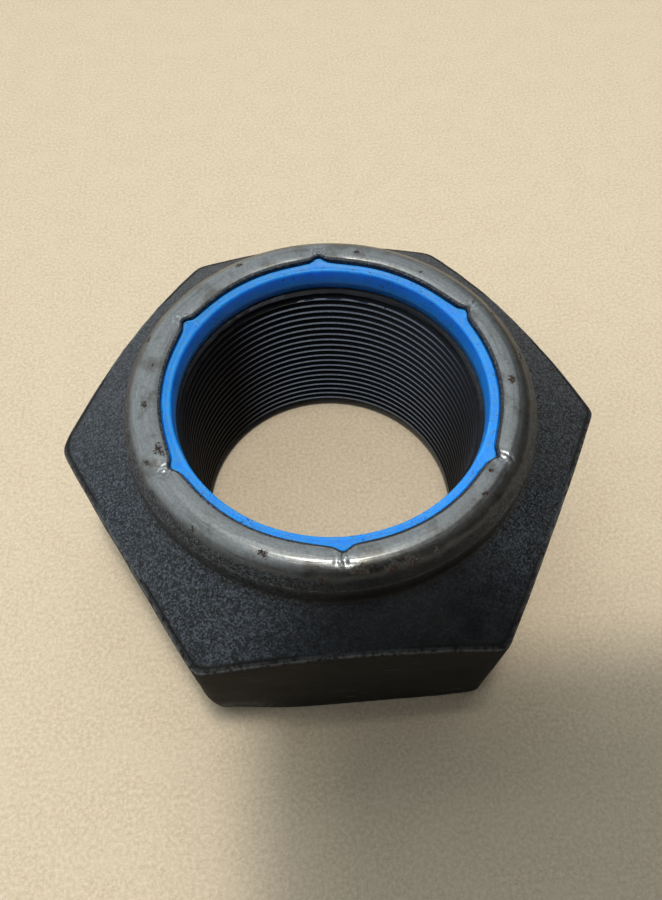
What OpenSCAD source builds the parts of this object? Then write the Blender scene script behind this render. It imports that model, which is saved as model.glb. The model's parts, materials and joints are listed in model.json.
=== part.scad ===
// Heavy prevailing-torque lock nut with a captured nylon ring.
// The bearing face lies on z = 0, the thread axis is +Z, and one flat faces -Y.
// A steel nut body carries the thread and an integral collar. The collar's rim is
// rolled inwards over the nylon ring and staked at the middle of each flat.

/* [Hexagon] */
// Width across flats
across_flats = 101.6; // [100.8:0.2:106]
// Height of a side face at the middle of a flat
flat_height = 40.2; // [39:0.1:40.8]
// Slope of the chamfer on top, in degrees from level
top_slope = 29; // [26:1:30]
// Width across the corners, which are turned off a little short of sharp
across_corners = 116.4; // [115:0.2:117.2]
// Diameter of the bearing face, where the chamfer under the corners begins
bearing_d = 110; // [103:1:113]
// Slope of the chamfer under the corners, in degrees from level
bottom_slope = 30; // [20:1:35]

/* [Thread] */
// Nominal thread diameter
thread_d = 63.5; // [63:0.1:64]
// Threads per inch
threads_per_inch = 12; // [11:1:14]
// Minor diameter, the wall that a bolt's crests pass
minor_d = 61.5; // [61.2:0.05:61.7]
// Height of the lowest thread crest above the bearing face
first_crest_z = 3.05; // [2.8:0.05:3.6]
// Number of thread crests
crests = 21; // [16:1:21]

/* [Collar] */
// Outer diameter of the collar
collar_d = 83.8; // [83:0.2:86]
// Radius of the rolled crown, in section
crown_r = 5.6; // [5:0.1:6]
// Height of the centre of the rolled crown
crown_z = 47.9; // [47.5:0.1:48.2]
// Radius of the fillet between the collar and the chamfer
collar_fillet = 1.6; // [0.5:0.1:2]
// Inner diameter of the rolled-in lip
lip_d = 67.6; // [66.8:0.1:68]
// Thickness of the collar wall beside the ring
collar_wall = 3.4; // [2.8:0.1:3.6]

/* [Nylon ring] */
// Height of the ring's flat top
ring_top_z = 51.9; // [51.6:0.1:52]
// Height of the ring
ring_height = 5.6; // [5.3:0.1:5.7]
// Bore of the ring, a little under the nominal thread diameter
ring_bore_d = 63.1; // [62.4:0.1:63.4]
// Radius of the ring's outer top edge, where the rim is rolled over it
ring_edge_r = 4.3; // [3.5:0.1:4.5]
// Chamfer at both ends of the ring's bore
ring_chamfer = 0.5; // [0.2:0.1:0.6]

/* [Stakes] */
// How far each key reaches out under the lip's edge
key_reach = 1.1; // [0.8:0.1:1.4]
// Width of each key at the lip's edge
key_width = 3.2; // [2.6:0.1:4]
// How far each key stands above the ring's top
key_rise = 0.5; // [0.2:0.1:0.7]
// Radius of the punch that dents the crown outside each key
punch_r = 3; // [2:0.1:4]
// Depth of that dent
dent_depth = 0.6; // [0.3:0.1:0.9]

/* [Hidden] */
$fn = 96;
eps = 0.01;

sides = 6;
corner_r = across_flats / 2 / cos(180 / sides);
bearing_r = bearing_d / 2;

// The thread is a 60 degree profile with a flat root of an eighth of a pitch
pitch = 25.4 / threads_per_inch;
major_r = thread_d / 2;
minor_r = minor_d / 2;
flank_rise = (major_r - minor_r) * tan(30);
root_flat = pitch / 8;
crest_flat = pitch - root_flat - 2 * flank_rise;
last_crest_z = first_crest_z + (crests - 1) * pitch;

collar_r = collar_d / 2;
crown_ring_r = collar_r - crown_r;
lip_r = lip_d / 2;

ring_r = collar_r - collar_wall;
ring_floor_z = ring_top_z - ring_height;
ring_bore_r = ring_bore_d / 2;

// Height of the top chamfer where it meets the collar's wall
shoulder_z = flat_height + (across_flats / 2 - collar_r) * tan(top_slope);
headroom = crown_z + 2 * crown_r;

// Each stake lands a little off the middle of its flat, in degrees
stake_offset = [-0.9, -1.4, -0.1, -0.2, -2.9, -3.1];
function stake_angle(i) = -90 + i * 360 / sides + stake_offset[i];

// Height of the crown's outer surface at a radius inside its top
function crown_height(r) = crown_z + sqrt(crown_r * crown_r - (r - crown_ring_r) * (r - crown_ring_r));

// Half section of the outside, which also turns off the hexagon's corners
module outer_profile() {
    reach = across_corners / 2;
    bottom_rise = (reach - bearing_r) * tan(bottom_slope);
    top_edge_z = shoulder_z - (reach - collar_r) * tan(top_slope);
    fillet_centre = [collar_r + collar_fillet,
        shoulder_z - collar_fillet * tan(top_slope) + collar_fillet / cos(top_slope)];
    fillet_end = fillet_centre - collar_fillet * [sin(top_slope), cos(top_slope)];
    difference() {
        polygon([[0, 0], [bearing_r, 0], [reach, bottom_rise], [reach, top_edge_z], fillet_end,
            fillet_centre, [collar_r, fillet_centre[1]], [collar_r, crown_z], [0, crown_z]]);
        translate(fillet_centre) circle(r = collar_fillet);
    }
    translate([0, crown_z - eps]) square([crown_ring_r, crown_r + eps]);
    translate([crown_ring_r, crown_z]) circle(r = crown_r);
}

// Half section of the threaded bore, with a lead-in at each end
module thread_profile() {
    lead_bottom = first_crest_z - crest_flat / 2;
    lead_top = last_crest_z + crest_flat / 2;
    groove_root = [for (i = [0 : crests - 2])
        let (z = first_crest_z + crest_flat / 2 + i * pitch)
        each [[minor_r, z], [major_r, z + flank_rise],
            [major_r, z + flank_rise + root_flat], [minor_r, z + 2 * flank_rise + root_flat]]];
    polygon(concat(
        [[0, -1], [minor_r + lead_bottom + 1, -1], [minor_r, lead_bottom]],
        groove_root,
        [[minor_r, lead_top], [minor_r + ring_floor_z - lead_top, ring_floor_z],
            [minor_r + ring_floor_z - lead_top, ring_floor_z + 1], [0, ring_floor_z + 1]]));
}

// Half section of the pocket that holds the ring, with its outer top edge rounded
module pocket_profile() {
    difference() {
        translate([0, ring_floor_z]) square([ring_r, ring_height]);
        difference() {
            translate([ring_r - ring_edge_r, ring_top_z - ring_edge_r]) square(ring_edge_r + 1);
            translate([ring_r - ring_edge_r, ring_top_z - ring_edge_r]) circle(r = ring_edge_r);
        }
    }
}

// Plan of one key, pointing along +X
module key_plan() {
    root = ring_bore_r + 1;
    half_angle = atan(key_width / 2 / key_reach);
    tip = lip_r + key_reach;
    half_width = (tip - root) * tan(half_angle);
    polygon([[root, -half_width], [tip, 0], [root, half_width]]);
}

// All six keys as upright prisms between two heights
module keys(low, high) {
    for (i = [0 : sides - 1])
        rotate([0, 0, stake_angle(i)])
            translate([0, 0, low]) linear_extrude(height = high - low) key_plan();
}

// The punch that dents the crown outside each key
module punches() {
    dent_r = lip_r + key_reach + 1;
    for (i = [0 : sides - 1])
        rotate([0, 0, stake_angle(i)])
            translate([dent_r, 0, crown_height(dent_r) + punch_r - dent_depth]) sphere(r = punch_r);
}

module nut_body() {
    color("dimgray")
    difference() {
        intersection() {
            cylinder(h = headroom, r = corner_r, $fn = sides);
            rotate_extrude() outer_profile();
        }
        rotate_extrude() thread_profile();
        rotate_extrude() pocket_profile();
        translate([0, 0, ring_top_z - eps]) cylinder(h = headroom, r = lip_r);
        keys(ring_top_z - ring_edge_r / 4, headroom);
        punches();
    }
}

module nylon_ring() {
    color("dodgerblue")
    union() {
        difference() {
            rotate_extrude() pocket_profile();
            translate([0, 0, ring_floor_z - 1]) cylinder(h = ring_height + 2, r = ring_bore_r);
            translate([0, 0, ring_floor_z - 1])
                cylinder(h = ring_chamfer + 1, r1 = ring_bore_r + ring_chamfer + 1, r2 = ring_bore_r);
            translate([0, 0, ring_top_z - ring_chamfer])
                cylinder(h = ring_chamfer + 1, r1 = ring_bore_r, r2 = ring_bore_r + ring_chamfer + 1);
        }
        keys(ring_top_z - ring_edge_r / 4, ring_top_z + key_rise);
    }
}

nut_body();
nylon_ring();
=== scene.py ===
"""Looks of a heavy nylon-insert lock nut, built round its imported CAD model.

The nut body and the nylon ring are each one closed mesh, made of rings of points round the
thread axis. Lengths in the nut's constants are in millimetres, and meshes are made in metres.
The stage's lengths, from the floor to the lights, are in metres.
"""

import json
import math
import random

import bpy
import numpy as np
from mathutils import Matrix, Vector, noise


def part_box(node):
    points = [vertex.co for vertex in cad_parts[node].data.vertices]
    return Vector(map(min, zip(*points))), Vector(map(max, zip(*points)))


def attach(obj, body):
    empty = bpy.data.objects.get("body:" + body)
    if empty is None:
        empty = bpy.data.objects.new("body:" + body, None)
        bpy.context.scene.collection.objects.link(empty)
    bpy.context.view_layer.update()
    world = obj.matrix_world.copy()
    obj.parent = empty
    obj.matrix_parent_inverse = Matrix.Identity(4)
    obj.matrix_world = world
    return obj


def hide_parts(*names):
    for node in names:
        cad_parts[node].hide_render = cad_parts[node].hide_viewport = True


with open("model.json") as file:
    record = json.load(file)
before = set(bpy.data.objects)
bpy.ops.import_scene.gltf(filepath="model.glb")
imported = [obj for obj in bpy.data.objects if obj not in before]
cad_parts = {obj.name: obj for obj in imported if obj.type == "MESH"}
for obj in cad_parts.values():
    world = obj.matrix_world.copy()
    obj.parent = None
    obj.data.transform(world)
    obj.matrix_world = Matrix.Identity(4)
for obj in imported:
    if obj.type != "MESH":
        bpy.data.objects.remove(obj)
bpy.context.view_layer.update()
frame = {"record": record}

MM = 0.001

# Driving sizes of the nut body
body_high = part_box("nut_body")[1] / MM
APOTHEM = body_high.y
HEIGHT = body_high.z

# Thread: its radii, and the lead-in at each end
THREAD = next(m for m in frame["record"]["mounts"] if m["name"] == "thread")
MINOR_R = THREAD["dims"]["r_mm"]
THREAD_DEPTH = 1.0
MAJOR_R = MINOR_R + THREAD_DEPTH
PITCH = 25.4 / 12
FIRST_CREST_Z = 3.05
LEAD_LOW_Z = 2.7
LEAD_HIGH_Z = LEAD_LOW_Z + THREAD["dims"]["length_mm"]
LEAD_TOP_R = MAJOR_R + 0.2

# One pitch of the thread, as shares of the pitch and of the depth; the crest's corners are broken
THREAD_PROFILE = [(-0.20, 0.12), (-0.13, 0.0), (0.13, 0.0), (0.20, 0.12), (0.44, 0.96), (0.56, 0.96)]

# Rows this close to an end of the thread are laid on that end
THREAD_END_GAP = 0.03

# The last crests are torn from this height up
TEAR_Z = 43.0

# Hexagon: each corner's rounding and each side face's offset, by angle in degrees
FLAT_HEIGHT = 40.2
TOP_SLOPE = math.radians(29)
BEARING_R = 55.0
BOTTOM_SLOPE = math.radians(30)
CORNER_ROUNDS = {0: 2.2, 60: 2.5, 120: 2.5, 180: 5.0, 240: 3.2, 300: 3.0}
FACE_OFFSETS = {30: 0.25, 90: 0.0, 150: -0.25, 210: 0.0, 270: 0.0, 330: 0.05}
FOOT_RISE = 1.0

# Rounded edge between the side faces and the top chamfer
EDGE_SETBACK = 0.8
EDGE_TURN = math.pi / 2 - TOP_SLOPE
EDGE_R = EDGE_SETBACK / math.tan(EDGE_TURN / 2)

# Collar and its rolled crown
COLLAR_R = 41.9
COLLAR_FILLET = 1.6
CROWN_R = 5.6
CROWN_RING_R = COLLAR_R - CROWN_R
CROWN_Z = HEIGHT - CROWN_R
LIP_R = 33.8
LIP_ROUND = 0.2
LIP_DROP = 0.24
BURNISH_ANGLE = math.radians(21)
BURNISH_Z = CROWN_Z + CROWN_R * math.sin(BURNISH_ANGLE)
CREASE_R = 37.2
CREASE_RISE = 0.030
CREASE_WIDTH = 0.30

# Centre of the round at the collar's foot
SHOULDER_Z = FLAT_HEIGHT + (APOTHEM - COLLAR_R) * math.tan(TOP_SLOPE)
FILLET_R = COLLAR_R + COLLAR_FILLET
FILLET_Z = SHOULDER_Z - COLLAR_FILLET * (math.tan(TOP_SLOPE) - 1 / math.cos(TOP_SLOPE))

# Nylon ring and its pocket
RING_TOP_Z = 51.9
RING_FLOOR_Z = 46.3
RING_R = 38.5
RING_EDGE_R = 4.3
RING_BORE_R = 31.55
RING_GAP = 0.02
RING_CHAMFER = 0.55
RING_SIDE_GAP = 0.05

# Stakes: how far each is off the middle of its flat, in degrees, and how lopsided its notch is
STAKE_OFFSETS = [-0.9, -1.4, -0.1, -0.2, -2.9, -3.1]
STAKES = [math.radians(-90 + 60 * i + offset) for i, offset in enumerate(STAKE_OFFSETS)]
STAKE_SKEWS = [-0.35, 0.2, 0.3, 0.0, 0.25, -0.25]
KEY_REACH = 1.45

# Rust on the crown: two gatherings of spots near where the photo has them, in round numbers,
# and single spots scattered at random, which don't follow the photo. A gathering is its angle
# in degrees, distance from the axis, spread, and number of spots.
RUST_GATHERINGS = [(-80, 39, 2.5, 4), (-160, 36, 1.0, 2)]
RUST_SINGLES = 18
RUST_SEED = 5

# Columns of points round the axis
BODY_COLUMNS = 366
RING_COLUMNS = 420


def smooth(x):
    """Smooth step from 0 to 1 as x goes from 0 to 1."""
    x = np.clip(x, 0, 1)
    return x * x * (3 - 2 * x)


def turn_between(a, b):
    """Signed angle from b to a, within half a turn either way."""
    return (a - b + math.pi) % (2 * math.pi) - math.pi


def hump(x, power=2):
    """1 at x = 0, about a third at 1 either way and near 0 beyond, squarer for a higher power."""
    return np.exp(-(np.abs(x) ** power))


def column_angles(count):
    """Angles of the columns round the axis, closer together at corners and stakes."""
    steps = 7200
    fine = np.linspace(0, 2 * math.pi, steps, endpoint=False)
    density = np.ones_like(fine)
    crowded = [(math.radians(corner), 4.0, math.radians(2.5)) for corner in CORNER_ROUNDS]
    crowded += [(stake, 3.5, math.radians(4.0)) for stake in STAKES]
    for place, extra, spread in crowded:
        density += extra * hump(turn_between(fine, place) / spread)
    total = np.concatenate([[0], np.cumsum(density)])
    edges = np.linspace(0, 2 * math.pi, steps + 1)
    return np.interp(np.arange(count) / count * total[-1], total, edges)


def hexagon_radius(theta):
    """Distance from the axis to the outline of the hexagon, with its corners rounded off."""
    rounding = np.array([CORNER_ROUNDS[round(math.degrees(t) / 60) * 60 % 360] for t in theta])
    corner_r = APOTHEM / math.cos(math.radians(30))
    cut = rounding * (1 / math.cos(math.radians(30)) - 1)
    sharpness = -math.log(2) / np.log(1 - cut / corner_r)
    total = np.zeros_like(theta)
    for face, offset in FACE_OFFSETS.items():
        facing = np.clip(np.cos(theta - math.radians(face)), 0.05, 1)
        total += (APOTHEM / ((APOTHEM + offset) / facing)) ** sharpness
    return APOTHEM * total ** (-1 / sharpness)


def worn_corner(theta, z):
    """Depth of the flattened patch low on the front face, near its left corner."""
    along = turn_between(theta, math.radians(243)) * APOTHEM
    return 1.1 * hump(along / 8.0) * (1 - smooth(z / 15.0))


def notch(theta):
    """How far the lip's edge is pushed outwards at each column: a blunt tip on a flared foot."""
    reach = np.zeros_like(theta)
    for stake, skew in zip(STAKES, STAKE_SKEWS):
        along = turn_between(theta, stake) * LIP_R
        foot = along / (3.0 * (1 + skew * np.sign(along)))
        reach = np.maximum(reach, KEY_REACH * (0.5 * hump(along / 1.3, 2.4) + 0.5 * hump(foot, 1.5)))
    return reach


class Loop:
    """Rows of (radius, height) round the axis, with two masks that the material reads."""

    def __init__(self, theta):
        self.theta = theta
        self.rows = []
        self.burnish = []
        self.wear = []

    def add(self, r, z, burnish=0.0, wear=0.0):
        ones = np.ones_like(self.theta)
        self.rows.append(np.stack([r * ones, z * ones], axis=1))
        self.burnish.append(burnish * ones)
        self.wear.append(wear * ones)


def outer_rows(theta):
    """The nut body from the thread's lower end, round the outside, to its upper end."""
    loop = Loop(theta)
    side_r = hexagon_radius(theta)
    bottom_z = np.maximum(0, (side_r - BEARING_R) * math.tan(BOTTOM_SLOPE))
    top_z = FLAT_HEIGHT - math.tan(TOP_SLOPE) * (side_r - APOTHEM)
    lip_r = LIP_R + notch(theta)
    add_bearing_face(loop, side_r, bottom_z)
    add_side_faces(loop, side_r, bottom_z + FOOT_RISE, top_z - EDGE_SETBACK)
    add_top_chamfer(loop, side_r, top_z - EDGE_SETBACK)
    add_collar(loop)
    add_crown(loop, lip_r)
    add_pocket(loop, lip_r)
    return loop


def add_bearing_face(loop, side_r, bottom_z):
    """The bearing face, its edge, and the chamfer under each corner."""
    foot_r = side_r - worn_corner(loop.theta, 0)
    face_r = np.minimum(foot_r - 0.5, BEARING_R - 0.25)
    lead_r = MINOR_R + LEAD_LOW_Z
    loop.add(lead_r, 0)
    for share in np.linspace(0.02, 1, 10):
        loop.add(lead_r + (face_r - lead_r) * share, 0)
    for share in (0.35, 0.7, 1.0):
        loop.add(face_r + (foot_r - 0.25 - face_r) * share, (0.12 + bottom_z) * share, wear=0.4)
    loop.add(foot_r - 0.05, bottom_z + 0.45, wear=0.7)
    loop.add(foot_r, bottom_z + FOOT_RISE, wear=0.2)


def add_side_faces(loop, side_r, low_z, high_z):
    """The six side faces, with the flattened patch near one corner."""
    for share in np.linspace(0.04, 1, 24):
        z = low_z + (high_z - low_z) * share
        worn = worn_corner(loop.theta, z)
        loop.add(side_r - worn, z, wear=0.8 * smooth(worn / 0.8))


def add_top_chamfer(loop, side_r, edge_z):
    """The rounded edge above the side faces, then the chamfer up to the collar's fillet."""
    for share in np.linspace(0.15, 1, 6):
        a = EDGE_TURN * share
        worn = 1.0 if 0.4 < share < 0.8 else 0.25
        loop.add(side_r - EDGE_R * (1 - math.cos(a)), edge_z + EDGE_R * math.sin(a), wear=worn)
    start_r = side_r - EDGE_R * (1 - math.cos(EDGE_TURN))
    start_z = edge_z + EDGE_R * math.sin(EDGE_TURN)
    end_r = FILLET_R - COLLAR_FILLET * math.sin(TOP_SLOPE)
    end_z = FILLET_Z - COLLAR_FILLET * math.cos(TOP_SLOPE)
    for share in np.linspace(0.04, 1, 22):
        loop.add(start_r + (end_r - start_r) * share, start_z + (end_z - start_z) * share)


def add_collar(loop):
    """The fillet, the collar's wall, and a thin burr where the rolling tool stopped."""
    for a in np.linspace(EDGE_TURN, 0, 6)[1:]:
        loop.add(FILLET_R - COLLAR_FILLET * math.cos(a), FILLET_Z - COLLAR_FILLET * math.sin(a))
    for share in (0.2, 0.45, 0.7, 0.9):
        loop.add(COLLAR_R, FILLET_Z + (BURNISH_Z - 1.0 - FILLET_Z) * share)
    loop.add(COLLAR_R - 0.12, BURNISH_Z - 0.45)
    loop.add(COLLAR_R - 0.24, BURNISH_Z - 0.08, burnish=0.1, wear=0.1)


def add_crown(loop, lip_r):
    """The rolled crown, which is burnished between its two ends, and the lip's edge."""
    end_r = lip_r + LIP_ROUND
    end_angle = np.arccos((end_r - CROWN_RING_R) / CROWN_R)
    for share in np.linspace(0, 1, 40):
        a = BURNISH_ANGLE + (end_angle - BURNISH_ANGLE) * share
        r = CROWN_RING_R + CROWN_R * np.cos(a)
        crease = CREASE_RISE * hump((r - CREASE_R) / CREASE_WIDTH)
        z = CROWN_Z + CROWN_R * np.sin(a) + crease - stake_dent(loop.theta, r)
        rubbed = 0.15 + 0.85 * smooth((share - 0.04) / 0.46)
        # Darker at the lip's edge, next to the ring
        rubbed *= 1 - 0.9 * smooth((share - 0.93) / 0.07)
        loop.add(r, z, burnish=rubbed, wear=0.1 if share == 0 else 0.0)

    lip_z = CROWN_Z + CROWN_R * np.sin(end_angle) - stake_dent(loop.theta, end_r)
    under_z = pocket_z(lip_r)
    loop.add(lip_r + 0.06, lip_z - 0.07, burnish=0.1)
    loop.add(lip_r, lip_z - LIP_DROP)
    loop.add(lip_r, (lip_z - LIP_DROP + under_z) / 2)
    loop.add(lip_r, under_z)


def add_pocket(loop, lip_r):
    """The pocket that holds the ring, from under the lip to the thread's lead-in."""
    for share in np.linspace(0.1, 1, 12):
        r = lip_r + (RING_R - lip_r) * math.sin(share * math.pi / 2)
        loop.add(r, pocket_z(r))
    loop.add(RING_R, RING_FLOOR_Z)
    loop.add(LEAD_TOP_R + 3.0, RING_FLOOR_Z)
    loop.add(LEAD_TOP_R, RING_FLOOR_Z)


def pocket_z(r):
    """Height of the pocket's ceiling, which rounds down to its wall."""
    past = np.clip(np.asarray(r) - (RING_R - RING_EDGE_R), 0, RING_EDGE_R)
    return RING_TOP_Z - RING_EDGE_R + np.sqrt(RING_EDGE_R**2 - past**2)


def stake_patch(theta, r):
    """1 where a stake struck the crown, falling to 0 round it."""
    patch = np.zeros_like(theta)
    for stake in STAKES:
        along = turn_between(theta, stake) * CROWN_RING_R
        patch = np.maximum(patch, hump(along / 1.6, 3))
    return patch * smooth((39.0 - r) / 1.6)


def stake_dent(theta, r):
    """Depth of the six stake marks: a shallow dip, broken up by ragged radial streaks."""
    depth = np.zeros_like(theta)
    for stake in STAKES:
        along = turn_between(theta, stake) * CROWN_RING_R
        depth = np.maximum(depth, 0.28 * hump(along / 3.0) * smooth((40.5 - r) / 5))
    patch = stake_patch(theta, r)
    streaks = np.zeros_like(theta)
    where = np.broadcast_to(r, theta.shape)
    for i in np.nonzero(patch > 0.01)[0]:
        place = Vector((theta[i] * CROWN_RING_R / 0.7, where[i] / 1.7, 4.0))
        streaks[i] = noise.fractal(place, 0.7, 2.0, 2)
    return depth + 0.20 * patch * streaks


def thread_rows(theta):
    """Helical rows of the thread, and how bright its crest is along each of them, as a painted highlight.
    """
    turns = math.ceil(RING_FLOOR_Z / PITCH) + 2
    lead_widening = (LEAD_TOP_R - MINOR_R) / (RING_FLOOR_Z - LEAD_HIGH_Z)
    rows = []
    crest = []
    for k in range(turns * len(THREAD_PROFILE)):
        turn, part = divmod(k, len(THREAD_PROFILE))
        phase, depth = THREAD_PROFILE[part]
        z = (turn - 2 + phase + theta / (2 * math.pi)) * PITCH + FIRST_CREST_Z % PITCH
        z = np.where(z < THREAD_END_GAP, 0, z)
        z = np.where(z > RING_FLOOR_Z - THREAD_END_GAP, RING_FLOOR_Z, z)
        ragged = np.clip(0.22 * smooth((z - TEAR_Z) / 2.5) * torn(theta, z), 0, 0.15)
        lead_bottom = MINOR_R + LEAD_LOW_Z - z
        lead_top = MINOR_R + (z - LEAD_HIGH_Z) * lead_widening
        r = MINOR_R + depth * THREAD_DEPTH + ragged
        r = np.maximum(r, np.maximum(lead_bottom, lead_top))
        rows.append(np.stack([r, z], axis=1))
        on_crest = (z > LEAD_LOW_Z) & (z < LEAD_HIGH_Z - 1.6) & (depth == 0)
        # The crest's brightness round the bore is a painted highlight
        crest.append(painted_crest_highlight(theta) * on_crest)
    return rows, crest


def painted_crest_highlight(theta):
    """How bright the crests are, a painted highlight set to match the photo: least on the left, less on
    the right.
    """
    left = turn_between(theta, math.radians(173)) / math.radians(46)
    right = turn_between(theta, 0) / math.radians(38)
    return 1 - 0.75 * hump(left) - 0.34 * hump(right)


def torn(theta, z):
    """Unevenness from which the tearing of the last thread crests is made."""
    return np.array([noise.fractal(Vector((t * 9, h * 0.8, 7.0)), 0.8, 2.0, 3) for t, h in zip(theta, z)])


def quads(rows, columns, first, shift=0):
    """Faces between neighbouring rows; at the seam the rows step by shift."""
    faces = []
    for j in range(rows - 1):
        for i in range(columns):
            k = (i + 1) % columns
            step = shift if k == 0 else 0
            near, far = min(j + step, rows - 1), min(j + 1 + step, rows - 1)
            faces.append((first + j * columns + i, first + near * columns + k,
                          first + far * columns + k, first + (j + 1) * columns + i))
    return faces


def to_points(rows, theta):
    """Rows of (radius, height) in mm as points in metres."""
    rz = np.array(rows) * MM
    x = rz[..., 0] * np.cos(theta)
    y = rz[..., 0] * np.sin(theta)
    return np.stack([x, y, rz[..., 1]], axis=-1).reshape(-1, 3)


def closed_mesh(name, points, faces, masks):
    """A mesh object of the faces, with points in the same place made one."""
    _, first, inverse = np.unique(np.round(points, 8), axis=0, return_index=True, return_inverse=True)
    inverse = inverse.ravel()
    kept = []
    for face in faces:
        ring = [inverse[v] for v in face]
        ring = [v for n, v in enumerate(ring) if v != ring[n - 1]]
        if len(set(ring)) == len(ring) and len(ring) > 2:
            kept.append(ring)
    mesh = bpy.data.meshes.new(name)
    mesh.from_pydata(points[first].tolist(), [], kept)
    for mask, values in masks.items():
        layer = mesh.attributes.new(mask, "FLOAT", "POINT")
        layer.data.foreach_set("value", values[first].astype(np.float32))
    mesh.update()
    piece = bpy.data.objects.new(name, mesh)
    bpy.context.scene.collection.objects.link(piece)
    return piece


def roughen(piece, size_mm, depth_mm, mask, seed):
    """Moves points along their normals by smooth noise, as far as the mask lets them."""
    mesh = piece.data
    count = len(mesh.vertices)
    co = np.empty(count * 3)
    normal = np.empty(count * 3)
    mesh.vertices.foreach_get("co", co)
    mesh.vertex_normals.foreach_get("vector", normal)
    co = co.reshape(-1, 3)
    weight = np.empty(count, np.float32)
    mesh.attributes[mask].data.foreach_get("value", weight)
    offset = Vector((seed, seed * 1.7, seed * 0.3))
    lumps = np.zeros(count)
    for i in np.nonzero(weight > 0.001)[0]:
        lumps[i] = noise.fractal(Vector(co[i] / (size_mm * MM)) + offset, 0.9, 2.1, 3)
    co += normal.reshape(-1, 3) * (lumps * weight * depth_mm * MM)[:, None]
    mesh.vertices.foreach_set("co", co.ravel())
    mesh.update()


def finish_shading(piece, degrees):
    piece.data.shade_smooth()
    piece.data.set_sharp_from_angle(angle=math.radians(degrees))


def make_nut_body():
    theta = column_angles(BODY_COLUMNS)
    loop = outer_rows(theta)
    thread, crest = thread_rows(theta)
    outer_points = to_points(loop.rows, theta)
    thread_points = to_points(thread, theta)
    faces = quads(len(loop.rows), len(theta), 0)
    bore = quads(len(thread), len(theta), len(outer_points), len(THREAD_PROFILE))
    faces += [face[::-1] for face in bore]

    side_r = hexagon_radius(theta)
    spots = rust_spots()
    outer_masks = {
        "burnish": loop.burnish,
        "wear": loop.wear,
        "forged": [forging_weight(row) for row in loop.rows],
        "rust": [rust_weight(theta, row, spots) for row in loop.rows],
        "struck": [struck_weight(theta, row) for row in loop.rows],
        "side": [side_weight(side_r, row) for row in loop.rows],
        # dark: painted shade at the front right, which takes the pale specks off the coat there
        "dark": [painted_shade_weight(theta)] * len(loop.rows),
    }
    on_outside = np.zeros(len(outer_points))
    on_thread = np.zeros(len(thread_points))
    masks = {name: np.concatenate([np.ravel(rows), on_thread]) for name, rows in outer_masks.items()}
    masks["thread"] = np.concatenate([on_outside, on_thread + 1])
    masks["crest"] = np.concatenate([on_outside, np.ravel(crest)])

    points = np.concatenate([outer_points, thread_points])
    piece = closed_mesh("nut_body_steel", points, faces, masks)
    roughen(piece, 9.0, 0.10, "forged", 3.0)
    roughen(piece, 2.2, 0.035, "forged", 11.0)
    finish_shading(piece, 38)
    return piece


def forging_weight(row):
    """How much a row may be uneven: most outside the collar, a little on the crown and the pocket's
    ceiling, and nothing on the bearing face, the bore and the pocket's wall."""
    r, z = row[:, 0], row[:, 1]
    outside = smooth((r - 41.0) / 1.0) * smooth(z / 2.0)
    crown = 0.12 * smooth((r - LIP_R - 0.5) / 2) * smooth((z - 50.0) / 1.0)
    return np.maximum(outside, crown)


def rust_spots():
    """Angle, distance from the axis and size of each rust spot on the crown."""
    draw = random.Random(RUST_SEED)
    spots = []
    for angle, distance, spread, count in RUST_GATHERINGS:
        for _ in range(count):
            along = draw.uniform(-2, 2) * spread
            out = draw.uniform(-0.5, 0.5) * spread
            spots.append((math.radians(angle) + along / distance, distance + out, draw.uniform(1.2, 1.8)))
    for i in range(RUST_SINGLES):
        angle = 2 * math.pi * (i + draw.uniform(0.1, 0.9)) / RUST_SINGLES
        spots.append((angle, CROWN_RING_R + draw.uniform(-1.0, 4.0), draw.uniform(0.7, 1.4)))
    return spots


def rust_weight(theta, row, spots):
    """1 in the middle of each rust spot on the crown, falling to 0 round it."""
    r, z = row[:, 0], row[:, 1]
    weight = np.zeros_like(theta)
    for angle, distance, size in spots:
        along = turn_between(theta, angle) * distance / (1.5 * size)
        out = (r - distance) / size
        weight = np.maximum(weight, hump(np.hypot(along, out)))
    return weight * (z > 46)


def struck_weight(theta, row):
    """1 on the six stake marks."""
    r, z = row[:, 0], row[:, 1]
    return stake_patch(theta, r) * (z > 52)


def side_weight(side_r, row):
    """1 on the hexagon's side faces."""
    r, z = row[:, 0], row[:, 1]
    return smooth((r - side_r + 1.6) / 0.3) * smooth(z / 0.5) * (z < FLAT_HEIGHT)


def painted_shade_weight(theta):
    """Painted shade: 1 at the front right, where the photo's coat is darkest, falling to 0 round it."""
    front = turn_between(theta, math.radians(285)) / math.radians(30)
    right = turn_between(theta, math.radians(335)) / math.radians(30)
    return np.maximum(hump(front, 4), 0.45 * hump(right))


def make_nylon_ring():
    theta = column_angles(RING_COLUMNS)
    loop = Loop(theta)
    reach = notch(theta)
    lip_r = LIP_R + reach
    rise = 0.25 + 0.35 * reach / KEY_REACH
    low_z = RING_FLOOR_Z + RING_GAP
    add_ring_bore(loop, low_z)
    add_ring_top(loop, lip_r, rise)

    # Under the lip, down the outside and back along the bottom
    wall_r = RING_R - RING_SIDE_GAP
    for share in np.linspace(0, 1, 12):
        r = lip_r - 0.02 + (wall_r - lip_r) * math.sin(share * math.pi / 2)
        loop.add(r, pocket_z(r + RING_SIDE_GAP) - 0.06)
    loop.add(wall_r, RING_FLOOR_Z + 0.25)
    loop.add(wall_r - 0.2, low_z)
    loop.add((RING_R + RING_BORE_R) / 2, low_z)
    loop.add(RING_BORE_R + RING_CHAMFER, low_z)

    faces = [face[::-1] for face in quads(len(loop.rows), len(theta), 0)]
    masks = {"wear": np.ravel(loop.wear), "soft": np.ravel([soft_weight(row) for row in loop.rows])}
    piece = closed_mesh("nylon_ring_moulded", to_points(loop.rows, theta), faces, masks)
    roughen(piece, 3.0, 0.05, "soft", 5.0)
    finish_shading(piece, 50)
    return piece


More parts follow.
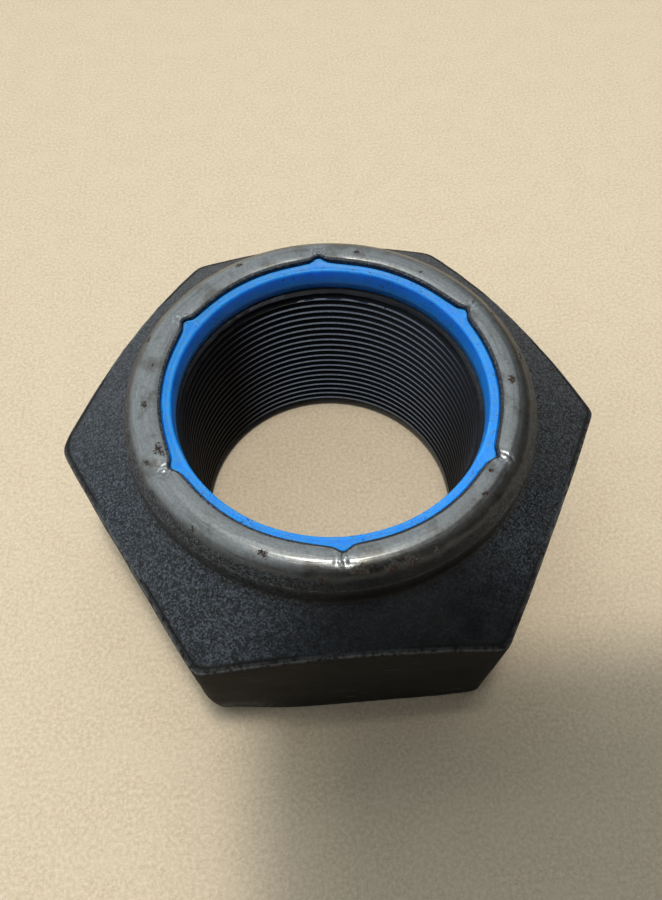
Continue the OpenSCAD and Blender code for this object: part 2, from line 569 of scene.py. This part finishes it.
def add_ring_bore(loop, low_z):
    """The ring's bore, from the bottom up: a plain band, a fine ridge, then a wall that opens a little."""
    ridge_z = RING_FLOOR_Z + 2.0
    wall_height = RING_TOP_Z - 0.9 - ridge_z
    loop.add(RING_BORE_R + RING_CHAMFER, low_z)
    loop.add(RING_BORE_R + 0.15, RING_FLOOR_Z + 0.42)
    loop.add(RING_BORE_R + 0.06, ridge_z - 0.12)
    loop.add(RING_BORE_R, ridge_z - 0.02)
    loop.add(RING_BORE_R, ridge_z + 0.12)
    for share in np.linspace(0.1, 1, 8):
        loop.add(RING_BORE_R + 0.03 + 0.27 * share, ridge_z + 0.2 + wall_height * share)


def add_ring_top(loop, lip_r, rise):
    """The ring's top, rounded at the bore and swollen a little towards the lip."""
    for a in np.linspace(0, math.pi / 2, 8)[1:]:
        edge_r = RING_BORE_R + 0.3 + 0.6 * (1 - math.cos(a))
        loop.add(edge_r, RING_TOP_Z - 0.65 + 0.6 * math.sin(a), wear=0.4 + 0.6 * math.sin(a))
    inner_r = RING_BORE_R + 0.9
    for share in np.linspace(0.15, 1, 8):
        r = inner_r + (lip_r - 0.34 - inner_r) * share
        loop.add(r, RING_TOP_Z - 0.05 + rise * smooth((share - 0.1) / 0.9), wear=1.0)
    loop.add(lip_r - 0.20, RING_TOP_Z + rise - 0.20)
    loop.add(lip_r - 0.14, RING_TOP_Z - 0.25)


def soft_weight(row):
    """Where the nylon is slightly uneven: its open top, its bore's edge and just under the lip."""
    r, z = row[:, 0], row[:, 1]
    return smooth((z - RING_TOP_Z + 1.0) / 0.8) * smooth((LIP_R + 0.9 - r) / 0.6)


# Materials


class Nodes:
    """Short calls for building one material's node tree."""

    def __init__(self, name):
        self.material = bpy.data.materials.new(name)
        self.material.use_nodes = True
        self.tree = self.material.node_tree
        self.shader = self.tree.nodes["Principled BSDF"]

    def new(self, kind, **settings):
        node = self.tree.nodes.new("ShaderNode" + kind)
        for key, value in settings.items():
            if hasattr(node, key):
                setattr(node, key, value)
            else:
                node.inputs[key.replace("_", " ")].default_value = value
        return node

    def link(self, source, target):
        self.tree.links.new(source, target)

    def place(self):
        return self.new("TexCoord").outputs["Object"]

    def mask(self, name):
        return self.new("Attribute", attribute_name=name).outputs["Fac"]

    def math(self, operation, a, b=0.0):
        node = self.new("Math", operation=operation)
        for socket, value in zip(node.inputs, (a, b)):
            if isinstance(value, (int, float)):
                socket.default_value = value
            else:
                self.link(value, socket)
        return node.outputs[0]

    def times(self, a, b):
        return self.math("MULTIPLY", a, b)

    def opposite(self, share):
        """1 where share is 0, and 0 where it is 1."""
        return self.math("SUBTRACT", 1.0, share)

    def ramp(self, value, low, high):
        """0 where value is at low and 1 where it is at high."""
        node = self.new("MapRange", interpolation_type="SMOOTHSTEP")
        self.link(value, node.inputs["Value"])
        node.inputs["From Min"].default_value = low
        node.inputs["From Max"].default_value = high
        return node.outputs["Result"]

    def noise(self, size_mm, detail=4.0, rough=0.55, stretch=None, where=None):
        """Noise whose lumps are about size_mm across."""
        where = where or self.place()
        if stretch:
            mapping = self.new("Mapping")
            mapping.inputs["Scale"].default_value = stretch
            self.link(where, mapping.inputs["Vector"])
            where = mapping.outputs[0]
        node = self.new("TexNoise", Scale=1 / (size_mm * MM), Detail=detail, Roughness=rough)
        self.link(where, node.inputs["Vector"])
        return node.outputs["Fac"]

    def cells(self, size_mm):
        """A random level in each of many small cells about size_mm across."""
        node = self.new("TexVoronoi", Scale=1 / (size_mm * MM))
        self.link(self.place(), node.inputs["Vector"])
        parts = self.new("SeparateColor")
        self.link(node.outputs["Color"], parts.inputs[0])
        return parts.outputs[0]

    def mix(self, share, first, second):
        node = self.new("Mix", data_type="RGBA")
        for socket, value in ((node.inputs[0], share), (node.inputs[6], first), (node.inputs[7], second)):
            if isinstance(value, tuple):
                socket.default_value = (*value, 1)
            elif isinstance(value, (int, float)):
                socket.default_value = value
            else:
                self.link(value, socket)
        return node.outputs[2]

    def blend(self, share, first, second):
        """Mix of two numbers."""
        node = self.new("Mix", data_type="FLOAT")
        for socket, value in ((node.inputs[0], share), (node.inputs[2], first), (node.inputs[3], second)):
            if isinstance(value, (int, float)):
                socket.default_value = value
            else:
                self.link(value, socket)
        return node.outputs[0]

    def bump(self, height, depth_mm, normal=None):
        node = self.new("Bump", Strength=1.0, Distance=depth_mm * MM)
        self.link(height, node.inputs["Height"])
        if normal is not None:
            self.link(normal, node.inputs["Normal"])
        return node.outputs["Normal"]


def round_the_axis(n):
    """Place as (angle x 30 mm, radius, height), so that marks can follow the turning."""
    parts = n.new("SeparateXYZ")
    n.link(n.place(), parts.inputs[0])
    x, y, z = parts.outputs
    radius = n.math("SQRT", n.math("ADD", n.times(x, x), n.times(y, y)))
    angle = n.times(n.math("ARCTAN2", y, x), 30 * MM)
    joined = n.new("CombineXYZ")
    for value, socket in zip((angle, radius, z), joined.inputs):
        n.link(value, socket)
    return joined.outputs[0]


# Tones of the steel
COAT_DARK = (0.0030, 0.0035, 0.0045)
COAT_CLOUD = (0.0080, 0.0085, 0.0085)
COAT_PATCH = (0.017, 0.020, 0.023)
COAT_SPECK = (0.100, 0.119, 0.141)
COAT_PIT = (0.001, 0.0015, 0.002)
SIDE_DARK = (0.0012, 0.0010, 0.0006)
SIDE_BROWN = (0.0050, 0.0045, 0.0030)
SIDE_SCUFF = (0.10, 0.10, 0.098)
BARE_DULL = (0.175, 0.178, 0.168)
BARE_BRIGHT = (0.235, 0.240, 0.228)
BARE_TURNED = (0.095, 0.090, 0.080)
BARE_SCRATCH = (0.38, 0.39, 0.38)
BARE_STAIN = (0.088, 0.078, 0.062)
HALF_RUBBED = (0.100, 0.094, 0.082)
STRUCK_BRIGHT = (0.33, 0.34, 0.34)
EDGE_GREY = (0.20, 0.21, 0.21)
THREAD_BLACK = (0.0022, 0.0026, 0.0040)
CREST_BLUE = (0.21, 0.29, 0.48)
RUST_BLACK = (0.003, 0.002, 0.0012)
RUST_BROWN = (0.034, 0.014, 0.006)

# Tones of the nylon and the floor
NYLON_DEEP = (0.001, 0.200, 0.700)
NYLON_CLOUD = (0.003, 0.235, 0.780)
NYLON_FINE = (0.07, 0.34, 0.72)
NYLON_DIRT = (0.008, 0.020, 0.045)
NYLON_SCUFF = (0.070, 0.235, 0.400)
FLOOR_DARK = (0.455, 0.368, 0.250)
FLOOR_PALE = (0.655, 0.540, 0.385)
FLOOR_CLOUD = (0.61, 0.510, 0.360)


def steel_material():
    """Black phosphated forging, burnished on the rolled collar, with rust specks."""
    n = Nodes("black_forged_steel")
    round_place = round_the_axis(n)
    burnish = n.mask("burnish")
    wear = n.mask("wear")
    thread = n.mask("thread")
    crest = n.ramp(n.mask("crest"), 0.60, 0.96)
    side = n.mask("side")
    struck = n.mask("struck")
    # Painted shade: the coat's pale specks fade out at the front right
    pale = n.opposite(n.times(n.mask("dark"), 0.85))

    # Phosphate coat: dark, grainy, with bluish and brownish clouds and pale specks; the specks are taken
    # out at the front right as painted shade
    grain = n.cells(0.30)
    lumps = n.noise(0.5, detail=3.0, rough=0.70)
    clouds = n.noise(13.0, detail=3.0)
    patches = n.noise(3.2, detail=5.0, rough=0.65)
    coat = n.mix(n.ramp(clouds, 0.35, 0.65), COAT_DARK, COAT_CLOUD)
    coat = n.mix(n.times(n.ramp(patches, 0.46, 0.72), 0.4), coat, COAT_PATCH)
    speckle = n.times(n.ramp(grain, 0.15, 1.0), n.ramp(lumps, 0.20, 0.74))
    coat = n.mix(n.times(speckle, n.times(pale, 0.8)), coat, COAT_SPECK)
    coat = n.mix(n.times(n.ramp(lumps, 0.45, 0.30), 0.7), coat, COAT_PIT)

    # Side faces: smoother and browner, with grey scuffs along them
    skin = n.mix(n.ramp(patches, 0.35, 0.7), SIDE_DARK, SIDE_BROWN)
    scrapes = n.noise(2.6, detail=5.0, rough=0.6, stretch=(0.35, 0.35, 1.6))
    scrape_areas = n.noise(17.0, detail=1.0)
    scuffs = n.times(n.ramp(scrapes, 0.60, 0.68), n.ramp(scrape_areas, 0.50, 0.60))
    skin = n.mix(n.times(scuffs, 0.7), skin, SIDE_SCUFF)
    coat = n.mix(side, coat, skin)

    # Burnished steel: mottled, with faint marks that run round the collar
    mottle = n.noise(0.55, detail=4.0, rough=0.7)
    turned = n.noise(0.8, detail=4.0, rough=0.6, stretch=(0.07, 1.0, 1.0), where=round_place)
    scratch = n.noise(0.32, detail=3.0, rough=0.6, stretch=(0.05, 1.0, 1.0), where=round_place)
    bare = n.mix(n.ramp(mottle, 0.30, 0.70), BARE_DULL, BARE_BRIGHT)
    bare = n.mix(n.times(n.ramp(turned, 0.50, 0.70), 0.45), bare, BARE_TURNED)
    bare = n.mix(n.times(n.ramp(scratch, 0.58, 0.72), 0.4), bare, BARE_SCRATCH)
    stain = n.noise(5.0, detail=6.0, rough=0.65)
    bare = n.mix(n.times(n.ramp(stain, 0.48, 0.66), 0.65), bare, BARE_STAIN)
    bare = n.mix(n.ramp(burnish, 0.45, 1.0), HALF_RUBBED, bare)
    bare = n.mix(n.times(struck, n.ramp(mottle, 0.50, 0.66)), bare, STRUCK_BRIGHT)

    uneven = n.math("ADD", burnish, n.times(n.math("SUBTRACT", patches, 0.5), 0.7))
    shine = n.ramp(uneven, 0.30, 0.90)
    edge = n.times(wear, n.ramp(n.noise(1.3, detail=5.0, rough=0.7), 0.36, 0.60))
    colour = n.mix(shine, coat, bare)
    colour = n.mix(n.times(edge, 0.7), colour, EDGE_GREY)

    # Thread: black in its grooves, bright along its crest; how bright round the bore is a painted
    # highlight
    colour = n.mix(thread, colour, THREAD_BLACK)
    # Painted highlight on the crests, dimmed on the left and right of the bore
    painted_crest_highlight = n.times(crest, n.blend(n.ramp(mottle, 0.35, 0.6), 0.75, 1.0))
    colour = n.mix(painted_crest_highlight, colour, CREST_BLUE)

    # Rust in spots on the collar, with ragged edges
    rust_shape = n.noise(0.7, detail=5.0, rough=0.85)
    rust_level = n.math("ADD", n.times(n.mask("rust"), 0.38), rust_shape)
    rust = n.ramp(rust_level, 0.79, 0.87)
    stray = n.times(n.ramp(rust_shape, 0.70, 0.76), n.ramp(stain, 0.50, 0.60))
    stray = n.times(stray, n.blend(burnish, 0.35, 1.0))
    rust = n.times(n.math("MAXIMUM", rust, stray), n.opposite(thread))
    rust_patches = n.ramp(n.noise(0.7, detail=3.0), 0.35, 0.65)
    rust_tone = n.mix(rust_patches, RUST_BLACK, RUST_BROWN)
    colour = n.mix(rust, colour, rust_tone)
    n.link(colour, n.shader.inputs["Base Color"])

    bright = n.math("MAXIMUM", n.math("MAXIMUM", shine, n.times(edge, 0.6)), painted_crest_highlight)
    n.link(n.times(bright, n.opposite(rust)), n.shader.inputs["Metallic"])
    gloss = n.blend(side, n.blend(clouds, 0.42, 0.56), n.blend(clouds, 0.72, 0.92))
    gloss = n.blend(shine, gloss, n.blend(mottle, 0.24, 0.35))
    gloss = n.blend(thread, gloss, n.blend(crest, 0.60, 0.16))
    gloss = n.blend(rust, gloss, 0.88)
    n.link(gloss, n.shader.inputs["Roughness"])
    n.shader.inputs["IOR"].default_value = 1.25
    n.shader.inputs["Specular IOR Level"].default_value = 0.9

    # Relief: coarse grain, mottled burnish, turning marks and rust crust
    dull = n.times(n.opposite(shine), n.opposite(thread))
    pits = n.noise(0.8, detail=4.0, rough=0.65)
    normal = n.bump(n.times(lumps, dull), 0.10)
    normal = n.bump(n.times(pits, dull), 0.10, normal)
    normal = n.bump(n.times(mottle, shine), 0.009, normal)
    normal = n.bump(n.times(scratch, shine), 0.014, normal)
    normal = n.bump(n.times(turned, shine), 0.010, normal)
    normal = n.bump(rust, 0.06, normal)
    n.link(normal, n.shader.inputs["Normal"])
    return n.material


def nylon_material():
    """Blue moulded nylon with fine dirt and scuffs."""
    n = Nodes("blue_nylon")
    clouds = n.noise(5.0, detail=3.0)
    fine = n.noise(0.5, detail=3.0, rough=0.6)
    colour = n.mix(n.ramp(clouds, 0.3, 0.7), NYLON_DEEP, NYLON_CLOUD)
    colour = n.mix(n.times(n.ramp(fine, 0.55, 0.75), 0.35), colour, NYLON_FINE)
    specks = n.ramp(n.noise(0.6, detail=3.0, rough=0.6), 0.60, 0.65)
    areas = n.ramp(n.noise(6.0, detail=2.0), 0.42, 0.58)
    dirt = n.times(specks, areas)
    colour = n.mix(n.times(dirt, 0.8), colour, NYLON_DIRT)
    scuff = n.times(n.mask("wear"), n.ramp(n.noise(0.9, detail=5.0, rough=0.7), 0.42, 0.66))
    colour = n.mix(n.times(scuff, 0.60), colour, NYLON_SCUFF)
    n.link(colour, n.shader.inputs["Base Color"])
    n.link(n.blend(clouds, 0.36, 0.50), n.shader.inputs["Roughness"])
    n.shader.inputs["IOR"].default_value = 1.53
    n.shader.inputs["Specular IOR Level"].default_value = 0.35
    n.shader.inputs["Subsurface Weight"].default_value = 0.8
    n.shader.inputs["Subsurface Radius"].default_value = (0.1, 0.55, 1.0)
    n.shader.inputs["Subsurface Scale"].default_value = 6.0 * MM
    n.link(n.bump(n.noise(0.7, detail=3.0), 0.03), n.shader.inputs["Normal"])
    return n.material


def floor_material():
    """Plain pale floor in a warm tone, with a fine fibre."""
    n = Nodes("pale_floor")
    fibre = n.noise(0.9, detail=3.0, rough=0.8)
    cloud = n.noise(9.0, detail=4.0, rough=0.6)
    colour = n.mix(n.ramp(fibre, 0.25, 0.75), FLOOR_DARK, FLOOR_PALE)
    colour = n.mix(n.times(n.ramp(cloud, 0.35, 0.7), 0.3), colour, FLOOR_CLOUD)
    n.link(colour, n.shader.inputs["Base Color"])
    n.shader.inputs["Roughness"].default_value = 0.9
    n.shader.inputs["Specular IOR Level"].default_value = 0.2
    return n.material


# Stage


def flat_sheet(name, low, high, z):
    mesh = bpy.data.meshes.new(name)
    corners = [(low[0], low[1]), (high[0], low[1]), (high[0], high[1]), (low[0], high[1])]
    mesh.from_pydata([(x, y, z) for x, y in corners], [], [(0, 1, 2, 3)])
    sheet = bpy.data.objects.new(name, mesh)
    bpy.context.scene.collection.objects.link(sheet)
    return sheet


def make_floor():
    reach = 3.0
    floor = flat_sheet("floor", (-reach, -reach), (reach, reach), 0)
    floor.data.materials.append(floor_material())


def make_flag():
    """A black studio flag, above the front right, which shades the floor there; the camera misses it."""
    height = 0.21
    flag = flat_sheet("flag", (-0.019, -0.32), (0.100, -0.0365), height)
    rounding = flag.modifiers.new("rounding", "BEVEL")
    rounding.affect = "VERTICES"
    rounding.width = 0.012
    rounding.segments = 12
    flag.visible_camera = False
    black = Nodes("flag_black")
    black.shader.inputs["Base Color"].default_value = (0.01, 0.01, 0.01, 1)
    black.shader.inputs["Roughness"].default_value = 1.0
    flag.data.materials.append(black.material)


def make_camera():
    """A wide lens close over the nut, just left of its front flat, as solved from the photo."""
    azimuth = math.radians(-4.84)
    elevation = math.radians(60.04)
    roll = math.radians(0.21)
    distance = 1.68 * 2 * APOTHEM * MM
    aim_right = 0.15
    aim_up = 0.65
    target = Vector((aim_right, 0, HEIGHT / 2 + aim_up)) * MM
    back = Vector((math.sin(azimuth) * math.cos(elevation),
                   -math.cos(azimuth) * math.cos(elevation), math.sin(elevation)))
    data = bpy.data.cameras.new("camera")
    data.sensor_width = 36.0
    data.lens = 29.81
    data.clip_start = 0.01
    camera = bpy.data.objects.new("camera", data)
    look = (-back).to_track_quat("-Z", "Y").to_matrix().to_4x4()
    turned = look @ Matrix.Rotation(roll, 4, "Z")
    camera.matrix_world = Matrix.Translation(target + back * distance) @ turned
    bpy.context.scene.collection.objects.link(camera)
    bpy.context.scene.camera = camera


# Overhead light, in metres: a small one for the highlights and a wide one for soft shadows
LIGHT_HEIGHT = 1.3
LIGHT_WATTS = 6.5
LIGHT_COLOUR = (1.0, 0.99, 0.97)
SMALL_LIGHT = 0.10
WIDE_LIGHT = 0.26

# The sky: the way to its brightest part, where it starts and ends to brighten, and its two tones
SKY_TOWARD = (-0.52, 0.60, 0.61)
SKY_START = 0.05
SKY_FULL = 0.90
SKY_DARK = (0.09, 0.085, 0.08, 1)
SKY_BRIGHT = (1.10, 1.21, 1.32, 1)


def overhead_light(name, size, glossy):
    """A round light straight above the nut, shining down."""
    data = bpy.data.lights.new(name, "AREA")
    data.shape = "DISK"
    data.size = size
    data.energy = LIGHT_WATTS
    data.color = LIGHT_COLOUR
    light = bpy.data.objects.new(name, data)
    light.location = (0, 0, LIGHT_HEIGHT)
    light.visible_glossy = glossy
    bpy.context.scene.collection.objects.link(light)


def make_sky():
    """A soft sky that is brightest at the back left."""
    world = bpy.data.worlds.new("studio")
    world.use_nodes = True
    tree = world.node_tree
    coords = tree.nodes.new("ShaderNodeTexCoord")
    toward = tree.nodes.new("ShaderNodeVectorMath")
    toward.operation = "DOT_PRODUCT"
    toward.inputs[1].default_value = SKY_TOWARD
    tree.links.new(coords.outputs["Generated"], toward.inputs[0])
    fade = tree.nodes.new("ShaderNodeMapRange")
    fade.interpolation_type = "SMOOTHSTEP"
    fade.inputs["From Min"].default_value = SKY_START
    fade.inputs["From Max"].default_value = SKY_FULL
    tree.links.new(toward.outputs["Value"], fade.inputs["Value"])
    sky = tree.nodes.new("ShaderNodeMix")
    sky.data_type = "RGBA"
    sky.inputs[6].default_value = SKY_DARK
    sky.inputs[7].default_value = SKY_BRIGHT
    tree.links.new(fade.outputs["Result"], sky.inputs[0])
    tree.links.new(sky.outputs[2], tree.nodes["Background"].inputs["Color"])
    bpy.context.scene.world = world


def main():
    make_camera()
    overhead_light("overhead", SMALL_LIGHT, True)
    overhead_light("soft_overhead", WIDE_LIGHT, False)
    make_sky()
    make_floor()
    make_flag()

    body = make_nut_body()
    body.data.materials.append(steel_material())
    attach(body, "root")
    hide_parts("nut_body")

    ring = make_nylon_ring()
    ring.data.materials.append(nylon_material())
    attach(ring, "root")
    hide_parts("nylon_ring")

    bpy.context.scene.view_settings.view_transform = "Standard"


main()
